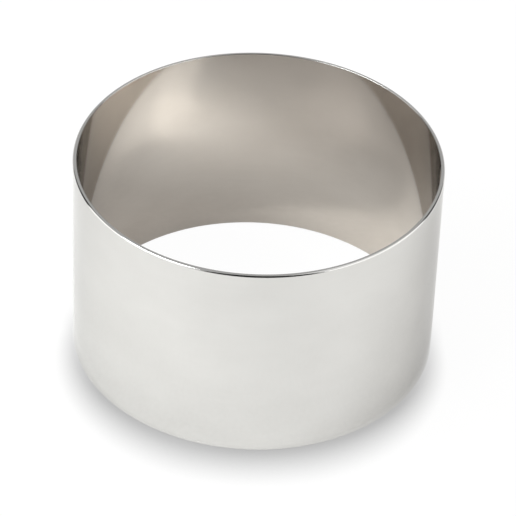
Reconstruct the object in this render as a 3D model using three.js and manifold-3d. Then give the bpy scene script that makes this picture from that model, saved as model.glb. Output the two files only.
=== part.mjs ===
// Ring mould: a strip of polished stainless steel rolled into a short open cylinder and closed by one butt weld.
// Millimetres, +Z up. The ring's axis is Z, its lower rim stands on the plane z = 0, and the seam is on the +X side.
import * as THREE from "three";
import { mergeVertices } from "three/addons/utils/BufferGeometryUtils.js";
import Module from "manifold-3d";

// The strip, as rolled
const OUTER_DIAMETER = 75;
const HEIGHT = 45;
const WALL = 0.8;

// The lips: each rim keeps a flat land, deburred inside and rolled over by the polishing wheel outside
const RIM_LAND = 0.23;
const INNER_LIP_RADIUS = 0.12;

// The seam: the gap between the butt ends, and how far the weld's root stands proud inside the ring
const SEAM_WIDTH = 1.2;
const WELD_CROWN = 0.08;

// How finely the round forms are divided
const RING_FACETS = 144;
const LIP_DIVISIONS = 2;
const CROWN_DIVISIONS = 6;

// What a cutter overshoots the faces it cuts, and the distance within which two points are one
const CUT_MARGIN = 1;
const SAME_POINT = 1e-4;

const OUTER_RADIUS = OUTER_DIAMETER / 2;
const INNER_RADIUS = OUTER_RADIUS - WALL;
const OUTER_LIP_RADIUS = WALL - INNER_LIP_RADIUS - RIM_LAND;
const SEAM_HALF_ANGLE = Math.asin(SEAM_WIDTH / 2 / OUTER_RADIUS);

const manifold = await Module();
manifold.setup();

function solidOf(geometry) {
  const bare = new THREE.BufferGeometry();
  bare.setAttribute("position", geometry.getAttribute("position"));
  bare.setIndex(geometry.getIndex());
  const merged = mergeVertices(bare, SAME_POINT);
  const mesh = new manifold.Mesh({
    numProp: 3,
    vertProperties: merged.getAttribute("position").array,
    triVerts: new Uint32Array(merged.getIndex().array),
  });
  return new manifold.Manifold(mesh);
}

function geometryOf(solid) {
  const mesh = solid.getMesh();
  const geometry = new THREE.BufferGeometry();
  geometry.setAttribute("position", new THREE.BufferAttribute(mesh.vertProperties, 3));
  geometry.setIndex(new THREE.BufferAttribute(mesh.triVerts, 1));
  geometry.computeVertexNormals();
  return geometry;
}

// The wall's section, with radius across and height up, from the inner foot round to the inner lip
function wallSection() {
  const innerCentre = INNER_RADIUS + INNER_LIP_RADIUS;
  const outerCentre = OUTER_RADIUS - OUTER_LIP_RADIUS;
  const section = new THREE.Path();
  section.absarc(innerCentre, INNER_LIP_RADIUS, INNER_LIP_RADIUS, Math.PI, 1.5 * Math.PI);
  section.absarc(outerCentre, OUTER_LIP_RADIUS, OUTER_LIP_RADIUS, -0.5 * Math.PI, 0);
  section.absarc(outerCentre, HEIGHT - OUTER_LIP_RADIUS, OUTER_LIP_RADIUS, 0, 0.5 * Math.PI);
  section.absarc(innerCentre, HEIGHT - INNER_LIP_RADIUS, INNER_LIP_RADIUS, 0.5 * Math.PI, Math.PI);
  section.closePath();
  return section.getPoints(LIP_DIVISIONS);
}

// The whole ring, before its butt ends are parted
function ringSolid() {
  const ring = new THREE.LatheGeometry(wallSection(), RING_FACETS);
  ring.rotateX(0.5 * Math.PI);
  return solidOf(ring);
}

// A point at the seam's edge: on the +Y side of the seam for side 1, and on its -Y side for side -1
function seamEdge(radius, side) {
  const angle = side * SEAM_HALF_ANGLE;
  return new THREE.Vector2(radius * Math.cos(angle), radius * Math.sin(angle));
}

function upright(shape, low, high, divisions) {
  const block = new THREE.ExtrudeGeometry(shape, {
    depth: high - low,
    bevelEnabled: false,
    curveSegments: divisions,
  });
  block.translate(0, 0, low);
  return solidOf(block);
}

// The space between the butt ends, which rolling leaves square to the wall
function seamSpace() {
  const plan = new THREE.Shape([
    seamEdge(INNER_RADIUS - CUT_MARGIN, -1),
    seamEdge(OUTER_RADIUS + CUT_MARGIN, -1),
    seamEdge(OUTER_RADIUS + CUT_MARGIN, 1),
    seamEdge(INNER_RADIUS - CUT_MARGIN, 1),
  ]);
  return upright(plan, -CUT_MARGIN, HEIGHT + CUT_MARGIN, 1);
}

// The weld's root, which stands proud of the inner face from lip to lip
function weldRoot() {
  const rootRight = seamEdge(INNER_RADIUS, -1);
  const rootLeft = seamEdge(INNER_RADIUS, 1);
  const buriedRight = seamEdge(INNER_RADIUS + 0.5 * WALL, -1);
  const buriedLeft = seamEdge(INNER_RADIUS + 0.5 * WALL, 1);
  const crest = INNER_RADIUS - WELD_CROWN;
  const plan = new THREE.Shape();
  plan.moveTo(buriedRight.x, buriedRight.y);
  plan.lineTo(buriedLeft.x, buriedLeft.y);
  plan.lineTo(rootLeft.x, rootLeft.y);
  plan.quadraticCurveTo(2 * crest - rootLeft.x, 0, rootRight.x, rootRight.y);
  plan.closePath();
  return upright(plan, INNER_LIP_RADIUS, HEIGHT - INNER_LIP_RADIUS, CROWN_DIVISIONS);
}

function piece(name, solid, material) {
  const mesh = new THREE.Mesh(geometryOf(solid), material);
  mesh.name = name;
  return mesh;
}

const polishedSteel = new THREE.MeshStandardMaterial({ color: 0xdcdad5, roughness: 0.12, metalness: 1 });
const weldSteel = new THREE.MeshStandardMaterial({ color: 0xc8c3ba, roughness: 0.3, metalness: 1 });

const ring = ringSolid();
const seam = seamSpace();

const ringMould = new THREE.Group();
ringMould.name = "ring_mould";
ringMould.add(piece("rolled_band", ring.subtract(seam), polishedSteel));
ringMould.add(piece("seam_weld", ring.intersect(seam).add(weldRoot()), weldSteel));

export default ringMould;
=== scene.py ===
import math

import bpy
from mathutils import Matrix, Vector


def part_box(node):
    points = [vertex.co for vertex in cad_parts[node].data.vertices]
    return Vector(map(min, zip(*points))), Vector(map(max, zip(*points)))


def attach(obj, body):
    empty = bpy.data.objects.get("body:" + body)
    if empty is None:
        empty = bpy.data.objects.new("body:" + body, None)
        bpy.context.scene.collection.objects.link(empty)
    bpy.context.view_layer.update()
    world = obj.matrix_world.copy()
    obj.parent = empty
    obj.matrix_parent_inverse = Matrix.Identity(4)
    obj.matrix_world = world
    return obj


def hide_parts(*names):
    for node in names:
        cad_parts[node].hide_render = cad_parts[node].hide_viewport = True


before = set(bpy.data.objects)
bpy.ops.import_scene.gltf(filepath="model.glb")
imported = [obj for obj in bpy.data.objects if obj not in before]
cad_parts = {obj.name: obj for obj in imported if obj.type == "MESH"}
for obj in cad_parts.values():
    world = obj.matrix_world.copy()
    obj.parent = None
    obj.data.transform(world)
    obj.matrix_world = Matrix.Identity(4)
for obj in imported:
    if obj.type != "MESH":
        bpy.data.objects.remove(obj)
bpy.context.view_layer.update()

# The ring in metres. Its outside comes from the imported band, its wall and lips repeat the strip's sizes.
BAND_LOW, BAND_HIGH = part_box("rolled_band")
OUTER_RADIUS = (BAND_HIGH.y - BAND_LOW.y) / 2
HEIGHT = BAND_HIGH.z
WALL = 0.0008
RIM_LAND = 0.00023
INNER_LIP = 0.00012
OUTER_LIP = WALL - RIM_LAND - INNER_LIP
INNER_RADIUS = OUTER_RADIUS - WALL

# The weld's half width, its bead's crown and fade towards each rim, and the ripples' pitch, height and bow.
WELD_HALF_WIDTH = 0.0006
SEAM_HALF_ANGLE = math.asin(WELD_HALF_WIDTH / OUTER_RADIUS)
WELD_CROWN = 0.00008
BEAD_FADE = 0.0006
RIPPLE_PITCH = 0.00045
RIPPLE_HEIGHT = 0.000012
RIPPLE_BOW = 0.55

# How finely the forms are divided.
BAND_STEPS = 640
LIP_STEPS = 12
INNER_LIP_STEPS = LIP_STEPS // 2
WALL_STEPS = 16
WELD_STEPS = 12
WELD_ROWS = 420
FLAG_COLUMNS = 24
FLAG_ROWS = 12

# The places of a piece's materials.
OUTSIDE, INSIDE, LIP = 0, 1, 2

# The steel's patterns: features per metre along the strip and across it, and how much each one shows.
CLOUD_SCALE = (70.0, 110.0)
CLOUD_TINT = 0.7
LINE_TINT = 0.3
LINE_ROUGHNESS = 0.02
HAIR_SCALE = (45.0, 2600.0)
HAIR_CUT = (0.70, 0.74)
HAIR_ROUGHNESS = 0.05
HAIR_DEPTH = 0.6
BUMP_STRENGTH = 0.25
NOISE_RANGE = (0.3, 0.7)
SHIFT_RATIO = 1.7

# The camera of the photograph, fitted to the rim and the foot, with its angles from the ring's middle.
CAMERA_DISTANCE = 0.68169
CAMERA_ELEVATION = math.radians(38.503)
CAMERA_PAN = math.radians(0.0668)
CAMERA_TILT = math.radians(-0.1921)
CAMERA_ROLL = math.radians(2.392)
CAMERA_CLIP = (0.01, 20.0)
FRAME_PIXELS = 516
FOCAL_PIXELS = 3317.2

# The floor: its half side, tones and grain, and where it turns from lit paper into white background.
FLOOR_HALF_SIDE = 4.0
PAPER_TONES = ((0.87, 0.865, 0.855), (0.9, 0.895, 0.885))
PAPER_GRAIN = 900.0
LIT_RADIUS = 0.10
WHITE_RADIUS = 0.32

# How much of the white shows near the ring: to the camera outside and inside it, and in the metal.
WHITE_OUTSIDE = 0.92
WHITE_INSIDE = 0.97
WHITE_MIRRORED = 0.08

# The shade on the floor along the foot: its reach in metres beside and before the ring, over which part of
# the way to the front it widens and deepens, how fast it deepens, how deep it gets, and its inner edge.
# The way runs from -1 behind the ring, through 0 beside it, to 1 before it.
SHADE_REACH = (0.003, 0.0115)
SHADE_REACH_FRONT = (0.05, 0.95)
SHADE_FADE_FRONT = (-0.35, 0.65)
SHADE_DEPTH = 1.2
SHADE_LIMIT = 0.54
SHADE_EDGE = 0.0002

# The strip of paper along the foot that the foot's lip mirrors: its width and how white it shows there.
FOOT_GLOW_WIDTH = 0.002
FOOT_GLOW = 0.5

# How bright the studio is overhead, where white is 1, and how high up its white horizon fades to that.
STUDIO_GREY = 0.55
HORIZON_HEIGHT = 0.3

# The lamps: azimuth and elevation in degrees, distance, width and height in metres, watts, colour, and
# whether the metal mirrors them. The fills only light the floor.
LAMPS = {
    "key_softbox": (-66, 47, 0.9, 0.60, 0.25, 3.7, (0.95, 0.985, 1.0), True),
    "left_panel": (-74, 22, 1.0, 1.35, 0.80, 4.0, (1.0, 1.0, 0.99), True),
    "right_panel": (74, 22, 1.0, 1.35, 0.80, 3.4, (1.0, 1.0, 1.0), True),
    "right_high": (88, 60, 1.1, 0.90, 0.70, 1.1, (1.0, 1.0, 1.0), True),
    "back_fill": (-168, 18, 1.1, 1.60, 0.60, 7.4, (1.0, 0.99, 0.97), False),
    "front_fill": (-15, 60, 1.0, 0.80, 0.80, 2.75, (1.0, 0.99, 0.97), False),
    "top_fill": (0, 89.9, 1.0, 0.80, 0.80, 0.9, (1.0, 1.0, 1.0), False),
}

# The dark cards: from and to azimuth, low and high elevation, in degrees. They share a distance and tones.
FLAGS = {
    "camera_flag": (-28, 40, 3, 84),
    "left_flag": (-134, -109, 1, 44),
    "right_flag": (109, 134, 1, 44),
}
FLAG_DISTANCE = 1.6
FLAG_TONES = ((0.024,) * 3, (0.036,) * 3)
FLAG_NAP = 60.0


# Small helpers for node materials.

def new_material(name):
    material = bpy.data.materials.new(name)
    material.use_nodes = True
    material.node_tree.nodes.clear()
    return material, material.node_tree


def add(tree, kind, **settings):
    node = tree.nodes.new(kind)
    for key, value in settings.items():
        setattr(node, key, value)
    return node


def put(node, values):
    for key, value in values.items():
        node.inputs[key].default_value = value


def math_node(tree, operation, a, b):
    node = add(tree, "ShaderNodeMath", operation=operation)
    for socket, value in zip(node.inputs, (a, b)):
        if isinstance(value, bpy.types.NodeSocket):
            tree.links.new(value, socket)
        else:
            socket.default_value = value
    return node.outputs[0]


def map_range(tree, value, low, high, to_low, to_high, smooth=False):
    node = add(tree, "ShaderNodeMapRange", interpolation_type="SMOOTHSTEP" if smooth else "LINEAR")
    put(node, {"From Min": low, "From Max": high, "To Min": to_low, "To Max": to_high})
    tree.links.new(value, node.inputs["Value"])
    return node.outputs["Result"]


def stretched_noise(tree, strip, scale, shift, detail, roughness=0.5):
    """Noise in the strip's own plane: scale is features per metre along the strip and across it."""
    mapping = add(tree, "ShaderNodeMapping", vector_type="POINT")
    put(mapping, {"Scale": (*scale, 1.0), "Location": (shift, SHIFT_RATIO * shift, 0.0)})
    tree.links.new(strip, mapping.inputs["Vector"])
    noise = add(tree, "ShaderNodeTexNoise", noise_dimensions="2D")
    put(noise, {"Scale": 1.0, "Detail": detail, "Roughness": roughness})
    tree.links.new(mapping.outputs["Vector"], noise.inputs["Vector"])
    return noise.outputs["Fac"]


def colour_between(tree, factor, dark, light):
    ramp = add(tree, "ShaderNodeValToRGB")
    for stop, colour, position in zip(ramp.color_ramp.elements, (dark, light), NOISE_RANGE):
        stop.color = (*colour, 1.0)
        stop.position = position
    tree.links.new(factor, ramp.inputs["Fac"])
    return ramp.outputs["Color"]


def finish_material(tree, shader_output):
    output = add(tree, "ShaderNodeOutputMaterial")
    tree.links.new(shader_output, output.inputs["Surface"])


def steel(name, dark, light, glancing, roughness, line_scale, line_height, cloud_gain):
    """Stainless steel with fine lines along the strip, faint hairlines and slight clouding."""
    material, tree = new_material(name)
    strip = add(tree, "ShaderNodeUVMap", uv_map="strip").outputs["UV"]
    clouds = stretched_noise(tree, strip, CLOUD_SCALE, shift=3.1, detail=3.0)
    lines = stretched_noise(tree, strip, line_scale, shift=5.3, detail=4.0, roughness=0.65)
    hair = stretched_noise(tree, strip, HAIR_SCALE, shift=11.9, detail=1.0)
    hair_mask = map_range(tree, hair, *HAIR_CUT, 0.0, 1.0)
    shader = add(tree, "ShaderNodeBsdfPrincipled")
    put(shader, {"Metallic": 1.0, "Specular Tint": (glancing, glancing, glancing, 1.0)})

    cloud_tint = math_node(tree, "MULTIPLY", clouds, CLOUD_TINT)
    line_tint = math_node(tree, "MULTIPLY", lines, LINE_TINT)
    tint = math_node(tree, "ADD", cloud_tint, line_tint)
    tree.links.new(colour_between(tree, tint, dark, light), shader.inputs["Base Color"])

    smoothest, roughest = roughness * (1 - cloud_gain), roughness * (1 + cloud_gain)
    rough = map_range(tree, clouds, *NOISE_RANGE, smoothest, roughest)
    rough = math_node(tree, "ADD", rough, math_node(tree, "MULTIPLY", hair_mask, HAIR_ROUGHNESS))
    rough = math_node(tree, "ADD", rough, map_range(tree, lines, *NOISE_RANGE, 0.0, LINE_ROUGHNESS))
    tree.links.new(rough, shader.inputs["Roughness"])

    height = math_node(tree, "SUBTRACT", lines, math_node(tree, "MULTIPLY", hair_mask, HAIR_DEPTH))
    bump = add(tree, "ShaderNodeBump")
    put(bump, {"Strength": BUMP_STRENGTH, "Distance": line_height})
    tree.links.new(height, bump.inputs["Height"])
    tree.links.new(bump.outputs["Normal"], shader.inputs["Normal"])
    finish_material(tree, shader.outputs["BSDF"])
    return material


# The ring.

def arc(centre_r, centre_z, radius, start, end, steps):
    points = []
    for i in range(steps + 1):
        angle = math.radians(start + (end - start) * i / steps)
        normal = (math.cos(angle), math.sin(angle))
        points.append((centre_r + radius * normal[0], centre_z + radius * normal[1], *normal))
    return points


def run(start, end, steps):
    """Points strictly between two section points that share a normal."""
    return [
        tuple(a + (b - a) * i / steps for a, b in zip(start, end))
        for i in range(1, steps)
    ]


def wall_section():
    """Points (radius, height, normal out, normal up) from the foot up the outside, and down the inside."""
    outer_r, inner_r = OUTER_RADIUS - OUTER_LIP, INNER_RADIUS + INNER_LIP
    foot_out = arc(outer_r, OUTER_LIP, OUTER_LIP, -90, 0, LIP_STEPS)
    top_out = arc(outer_r, HEIGHT - OUTER_LIP, OUTER_LIP, 0, 90, LIP_STEPS)
    top_in = arc(inner_r, HEIGHT - INNER_LIP, INNER_LIP, 90, 180, INNER_LIP_STEPS)
    foot_in = arc(inner_r, INNER_LIP, INNER_LIP, 180, 270, INNER_LIP_STEPS)
    outside = foot_out + run(foot_out[-1], top_out[0], WALL_STEPS) + top_out
    inside = top_in + run(top_in[-1], foot_in[0], WALL_STEPS) + foot_in
    return outside, inside


def section_lengths(section):
    """How far along the section each of its points lies."""
    lengths = [0.0]
    for a, b in zip(section, section[1:]):
        lengths.append(lengths[-1] + math.hypot(b[0] - a[0], b[1] - a[1]))
    return lengths


def swept_faces(steps, section_materials):
    """The faces of a section swept in steps, with a flat one at each end, and each face's material."""
    around = len(section_materials)
    faces, face_materials = [], []
    for i in range(steps):
        a, b = i * around, (i + 1) * around
        for j in range(around):
            k = (j + 1) % around
            faces.append((a + j, b + j, b + k, a + k))
            face_materials.append(section_materials[j])
    faces.append(tuple(range(around)))
    faces.append(tuple(steps * around + j for j in reversed(range(around))))
    return faces, face_materials + [OUTSIDE, OUTSIDE]


def mesh_object(name, points, faces, normals, strip, face_materials, materials):
    mesh = bpy.data.meshes.new(name)
    mesh.from_pydata(points, [], faces)
    for material in materials:
        mesh.materials.append(material)
    mesh.polygons.foreach_set("material_index", face_materials)
    mesh.polygons.foreach_set("use_smooth", [True] * len(faces))
    layer = mesh.uv_layers.new(name="strip")
    for loop in mesh.loops:
        layer.data[loop.index].uv = strip[loop.vertex_index]
    mesh.update()
    mesh.normals_split_custom_set_from_vertices(normals)
    piece = bpy.data.objects.new(name, mesh)
    bpy.context.scene.collection.objects.link(piece)
    return piece


def make_band(outside_steel, inside_steel, lip_steel):
    """The rolled strip, from one butt end round to the other."""
    outside, inside = wall_section()
    section = outside + inside
    around = len(section)
    section_materials = [OUTSIDE] * len(outside) + [INSIDE] * len(inside)
    for j in range(around):
        in_foot = j < LIP_STEPS or j >= around - 1 - INNER_LIP_STEPS
        in_rim = len(outside) - 1 - LIP_STEPS <= j < len(outside) + INNER_LIP_STEPS
        if in_foot or in_rim:
            section_materials[j] = LIP
    lengths = section_lengths(section)
    sweep = 2 * (math.pi - SEAM_HALF_ANGLE)
    points, normals, strip = [], [], []
    for i in range(BAND_STEPS + 1):
        angle = SEAM_HALF_ANGLE + sweep * i / BAND_STEPS
        c, s = math.cos(angle), math.sin(angle)
        for (radius, height, out, up), length in zip(section, lengths):
            points.append((radius * c, radius * s, height))
            normals.append((out * c, out * s, up))
            strip.append((angle * OUTER_RADIUS, length))
    faces, face_materials = swept_faces(BAND_STEPS, section_materials)
    return mesh_object("rolled_band_polished", points, faces, normals, strip, face_materials,
                       [outside_steel, inside_steel, lip_steel])


def bead_height(across, height):
    """How far the bead stands proud of the inside wall: across runs from -1 to 1 over its width."""
    above_foot, below_rim = height - INNER_LIP, HEIGHT - INNER_LIP - height
    fade = max(min(1.0, above_foot / BEAD_FADE, below_rim / BEAD_FADE), 0.0)
    wave = math.cos(2 * math.pi * (height / RIPPLE_PITCH - RIPPLE_BOW * across * across))
    return fade * (1 - across * across) * (WELD_CROWN - RIPPLE_HEIGHT + RIPPLE_HEIGHT * wave)


def bead_normal(across, height):
    """The bead's normal, as its parts inward, along the strip and up."""
    half_width, step = SEAM_HALF_ANGLE * INNER_RADIUS, 1e-3
    low, high = bead_height(across - step, height), bead_height(across + step, height)
    along = -(high - low) / (2 * step * half_width)
    lift = 1e-6
    low, high = bead_height(across, height - lift), bead_height(across, height + lift)
    return Vector((-1.0, along, -(high - low) / (2 * lift))).normalized()


def make_weld(outside_steel, inside_steel):
    """The weld metal between the butt ends: flush outside, a low rippled bead inside."""
    outside, inside = wall_section()
    lip = INNER_LIP_STEPS + 1
    rows = [INNER_LIP + (HEIGHT - 2 * INNER_LIP) * j / WELD_ROWS for j in range(1, WELD_ROWS)]
    section = outside + inside[:lip]
    section += [(INNER_RADIUS, z, -1.0, 0.0) for z in reversed(rows)]
    section += inside[-lip:]
    around = len(section)
    lengths = section_lengths(section)
    first_inside = len(outside) + lip - 1
    last_inside = around - lip
    points, normals, strip = [], [], []
    for i in range(WELD_STEPS + 1):
        across = -1 + 2 * i / WELD_STEPS
        angle = across * SEAM_HALF_ANGLE
        c, s = math.cos(angle), math.sin(angle)
        for j, ((radius, height, out, up), length) in enumerate(zip(section, lengths)):
            along = 0.0
            if first_inside < j < last_inside:
                radius -= bead_height(across, height)
                out, along, up = bead_normal(across, height)
            points.append((radius * c, radius * s, height))
            normals.append((out * c - along * s, out * s + along * c, up))
            strip.append((angle * OUTER_RADIUS, length))
    section_materials = [INSIDE if first_inside <= j < last_inside else OUTSIDE for j in range(around)]
    faces, face_materials = swept_faces(WELD_STEPS, section_materials)
    return mesh_object("seam_weld_dressed", points, faces, normals, strip, face_materials,
                       [outside_steel, inside_steel])


# The studio.

def stage_object(name, points, faces, material):
    mesh = bpy.data.meshes.new(name)
    mesh.from_pydata(points, [], faces)
    mesh.materials.append(material)
    piece = bpy.data.objects.new(name, mesh)
    bpy.context.scene.collection.objects.link(piece)
    return piece


def grainy_matt(tree, place, scale, detail, tones):
    """A matt shader whose tone varies a little from place to place."""
    grain = add(tree, "ShaderNodeTexNoise")
    put(grain, {"Scale": scale, "Detail": detail})
    tree.links.new(place, grain.inputs["Vector"])
    matt = add(tree, "ShaderNodeBsdfDiffuse")
    tree.links.new(colour_between(tree, grain.outputs["Fac"], *tones), matt.inputs["Color"])
    return matt.outputs["BSDF"]


def make_floor():
    """A white floor: it takes light and shadow, and shows as white paper to the camera and in the metal."""
    material, tree = new_material("paper_floor")
    place = add(tree, "ShaderNodeTexCoord").outputs["Object"]
    length = add(tree, "ShaderNodeVectorMath", operation="LENGTH")
    tree.links.new(place, length.inputs[0])
    radius = length.outputs["Value"]
    axes = add(tree, "ShaderNodeSeparateXYZ")
    tree.links.new(place, axes.inputs["Vector"])
    front = math_node(tree, "DIVIDE", math_node(tree, "MULTIPLY", axes.outputs["Y"], -1.0), radius)
    far = map_range(tree, radius, LIT_RADIUS, WHITE_RADIUS, 0.0, 1.0, smooth=True)
    foot = OUTER_RADIUS - OUTER_LIP
    outside = map_range(tree, radius, foot - SHADE_EDGE, foot, 0.0, 1.0)
    path = add(tree, "ShaderNodeLightPath")

    # The shade outside the foot, widest in front of the ring and gone behind it. Metal doesn't mirror it.
    contact = add(tree, "ShaderNodeAmbientOcclusion")
    reach = map_range(tree, front, *SHADE_REACH_FRONT, *SHADE_REACH)
    tree.links.new(reach, contact.inputs["Distance"])
    shaded = math_node(tree, "SUBTRACT", 1.0, contact.outputs["AO"])
    shaded = math_node(tree, "MULTIPLY", shaded, SHADE_DEPTH)
    shaded = math_node(tree, "MINIMUM", shaded, SHADE_LIMIT)
    fade = map_range(tree, front, *SHADE_FADE_FRONT, 0.0, 1.0, smooth=True)
    shaded = math_node(tree, "MULTIPLY", shaded, fade)
    shaded = math_node(tree, "MULTIPLY", shaded, outside)
    direct = math_node(tree, "SUBTRACT", 1.0, path.outputs["Is Glossy Ray"])
    shaded = math_node(tree, "MULTIPLY", shaded, direct)

    # How much of the white the camera and the metal see.
    camera_share = map_range(tree, far, 0.0, 1.0, WHITE_OUTSIDE, 1.0)
    inside_share = map_range(tree, outside, 0.0, 1.0, WHITE_INSIDE, 0.0)
    camera_share = math_node(tree, "MAXIMUM", camera_share, inside_share)
    glossy_share = map_range(tree, far, 0.0, 1.0, WHITE_MIRRORED, 1.0)
    glow_end = OUTER_RADIUS + FOOT_GLOW_WIDTH
    beside = map_range(tree, radius, OUTER_RADIUS, glow_end, FOOT_GLOW, 0.0, smooth=True)
    beside = math_node(tree, "MULTIPLY", outside, beside)
    glossy_share = math_node(tree, "MAXIMUM", glossy_share, beside)
    seen = math_node(tree, "MULTIPLY", path.outputs["Is Camera Ray"], camera_share)
    mirrored = math_node(tree, "MULTIPLY", path.outputs["Is Glossy Ray"], glossy_share)
    through = math_node(tree, "MULTIPLY", path.outputs["Is Transmission Ray"], camera_share)
    share = math_node(tree, "ADD", math_node(tree, "ADD", seen, mirrored), through)

    paper = grainy_matt(tree, place, PAPER_GRAIN, detail=2.0, tones=PAPER_TONES)
    white = add(tree, "ShaderNodeEmission")
    put(white, {"Color": (1.0, 1.0, 1.0, 1.0)})
    tree.links.new(math_node(tree, "SUBTRACT", 1.0, shaded), white.inputs["Strength"])
    mix = add(tree, "ShaderNodeMixShader")
    tree.links.new(share, mix.inputs["Fac"])
    tree.links.new(paper, mix.inputs[1])
    tree.links.new(white.outputs["Emission"], mix.inputs[2])
    finish_material(tree, mix.outputs["Shader"])
    side = FLOOR_HALF_SIDE
    corners = [(-side, -side, 0), (side, -side, 0), (side, side, 0), (-side, side, 0)]
    floor = stage_object("floor", corners, [(0, 1, 2, 3)], material)


def direction(azimuth, elevation):
    """Towards a place in the studio, in degrees: azimuth 0 is the camera's side and 90 is to its right."""
    a, e = math.radians(azimuth), math.radians(elevation)
    return Vector((math.sin(a) * math.cos(e), -math.cos(a) * math.cos(e), math.sin(e)))


def make_light(name, azimuth, elevation, distance, width, height, power, colour, mirrored):
    data = bpy.data.lights.new(name, "AREA")
    data.shape = "RECTANGLE"
    data.size, data.size_y = width, height
    data.energy = power
    data.color = colour
    light = bpy.data.objects.new(name, data)
    towards = direction(azimuth, elevation)
    light.location = towards * distance
    light.rotation_mode = "QUATERNION"
    light.rotation_quaternion = towards.to_track_quat("Z", "Y")
    light.visible_camera = False
    light.visible_glossy = mirrored
    bpy.context.scene.collection.objects.link(light)


def make_flag(name, from_azimuth, to_azimuth, low, high):
    """A dark curved card that stands round the object, for the metal's edges to mirror."""
    material, tree = new_material(name)
    place = add(tree, "ShaderNodeTexCoord").outputs["Object"]
    cloth = grainy_matt(tree, place, FLAG_NAP, detail=3.0, tones=FLAG_TONES)
    finish_material(tree, cloth)
    points = []
    for i in range(FLAG_COLUMNS + 1):
        azimuth = from_azimuth + (to_azimuth - from_azimuth) * i / FLAG_COLUMNS
        for j in range(FLAG_ROWS + 1):
            elevation = low + (high - low) * j / FLAG_ROWS
            points.append(direction(azimuth, elevation) * FLAG_DISTANCE)
    faces = []
    for i in range(FLAG_COLUMNS):
        for j in range(FLAG_ROWS):
            a = i * (FLAG_ROWS + 1) + j
            faces.append((a, a + 1, a + FLAG_ROWS + 2, a + FLAG_ROWS + 1))
    flag = stage_object(name, points, faces, material)
    flag.visible_camera = False


def make_world():
    """A studio that is white round the horizon and pale grey overhead."""
    world = bpy.data.worlds.new("studio")
    world.use_nodes = True
    tree = world.node_tree
    tree.nodes.clear()
    path = add(tree, "ShaderNodeLightPath")
    axes = add(tree, "ShaderNodeSeparateXYZ")
    tree.links.new(add(tree, "ShaderNodeTexCoord").outputs["Generated"], axes.inputs["Vector"])
    mirrored = map_range(tree, axes.outputs["Z"], 0.0, HORIZON_HEIGHT, 1.0, STUDIO_GREY, smooth=True)
    mirrored = math_node(tree, "MULTIPLY", path.outputs["Is Glossy Ray"], mirrored)
    shown = math_node(tree, "MAXIMUM", path.outputs["Is Camera Ray"], path.outputs["Is Transmission Ray"])
    shown = math_node(tree, "MAXIMUM", shown, mirrored)
    back = add(tree, "ShaderNodeBackground")
    put(back, {"Color": (1.0, 1.0, 1.0, 1.0)})
    tree.links.new(math_node(tree, "MAXIMUM", shown, STUDIO_GREY), back.inputs["Strength"])
    output = add(tree, "ShaderNodeOutputWorld")
    tree.links.new(back.outputs["Background"], output.inputs["Surface"])
    bpy.context.scene.world = world


def make_camera():
    pitch = CAMERA_TILT - CAMERA_ELEVATION
    level = math.cos(pitch)
    forward = Vector((math.sin(CAMERA_PAN) * level, math.cos(CAMERA_PAN) * level, math.sin(pitch)))
    right = forward.cross(Vector((0, 0, 1))).normalized()
    up = right.cross(forward)
    c, s = math.cos(CAMERA_ROLL), math.sin(CAMERA_ROLL)
    right, up = c * right + s * up, c * up - s * right
    data = bpy.data.cameras.new("camera")
    data.sensor_fit = "HORIZONTAL"
    data.angle = 2 * math.atan(FRAME_PIXELS / 2 / FOCAL_PIXELS)
    data.clip_start, data.clip_end = CAMERA_CLIP
    camera = bpy.data.objects.new("camera", data)
    place = Vector((0, -math.cos(CAMERA_ELEVATION), math.sin(CAMERA_ELEVATION))) * CAMERA_DISTANCE
    place.z += HEIGHT / 2
    turn = Matrix((right, up, -forward)).transposed()
    camera.matrix_world = Matrix.Translation(place) @ turn.to_4x4()
    bpy.context.scene.collection.objects.link(camera)
    bpy.context.scene.camera = camera


# The steels: their tones, how much of the light they keep at glancing angles, and their finish.
outside_steel = steel(
    "mirror_steel", dark=(0.604, 0.598, 0.582), light=(0.638, 0.632, 0.616), glancing=0.83,
    roughness=0.07, line_scale=(25.0, 9000.0), line_height=2e-6, cloud_gain=0.2)
inside_steel = steel(
    "inner_steel", dark=(0.571, 0.533, 0.491), light=(0.607, 0.569, 0.527), glancing=0.79,
    roughness=0.07, line_scale=(25.0, 7000.0), line_height=2e-6, cloud_gain=0.2)
lip_steel = steel(
    "deburred_lip", dark=(0.604, 0.598, 0.582), light=(0.642, 0.636, 0.620), glancing=0.83,
    roughness=0.07, line_scale=(25.0, 9000.0), line_height=2e-6, cloud_gain=0.2)
weld_outside = steel(
    "dressed_weld", dark=(0.590, 0.580, 0.562), light=(0.628, 0.618, 0.600), glancing=0.83,
    roughness=0.13, line_scale=(9000.0, 60.0), line_height=2e-6, cloud_gain=0.2)
weld_inside = steel(
    "weld_bead", dark=(0.50, 0.46, 0.42), light=(0.62, 0.58, 0.53), glancing=0.79,
    roughness=0.28, line_scale=(4000.0, 900.0), line_height=4e-6, cloud_gain=0.3)

band = make_band(outside_steel, inside_steel, lip_steel)
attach(band, "root")
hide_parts("rolled_band")

weld = make_weld(weld_outside, weld_inside)
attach(weld, "root")
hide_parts("seam_weld")

make_floor()
make_world()
for lamp, settings in LAMPS.items():
    make_light(lamp, *settings)
for flag, span in FLAGS.items():
    make_flag(flag, *span)
make_camera()

scene = bpy.context.scene
scene.view_settings.view_transform = "Standard"

# The ring's inside lights its own floor by mirror paths, which stay sharp and run to many bounces.
scene.cycles.blur_glossy = 0.0
scene.cycles.glossy_bounces = 12
scene.cycles.max_bounces = 16
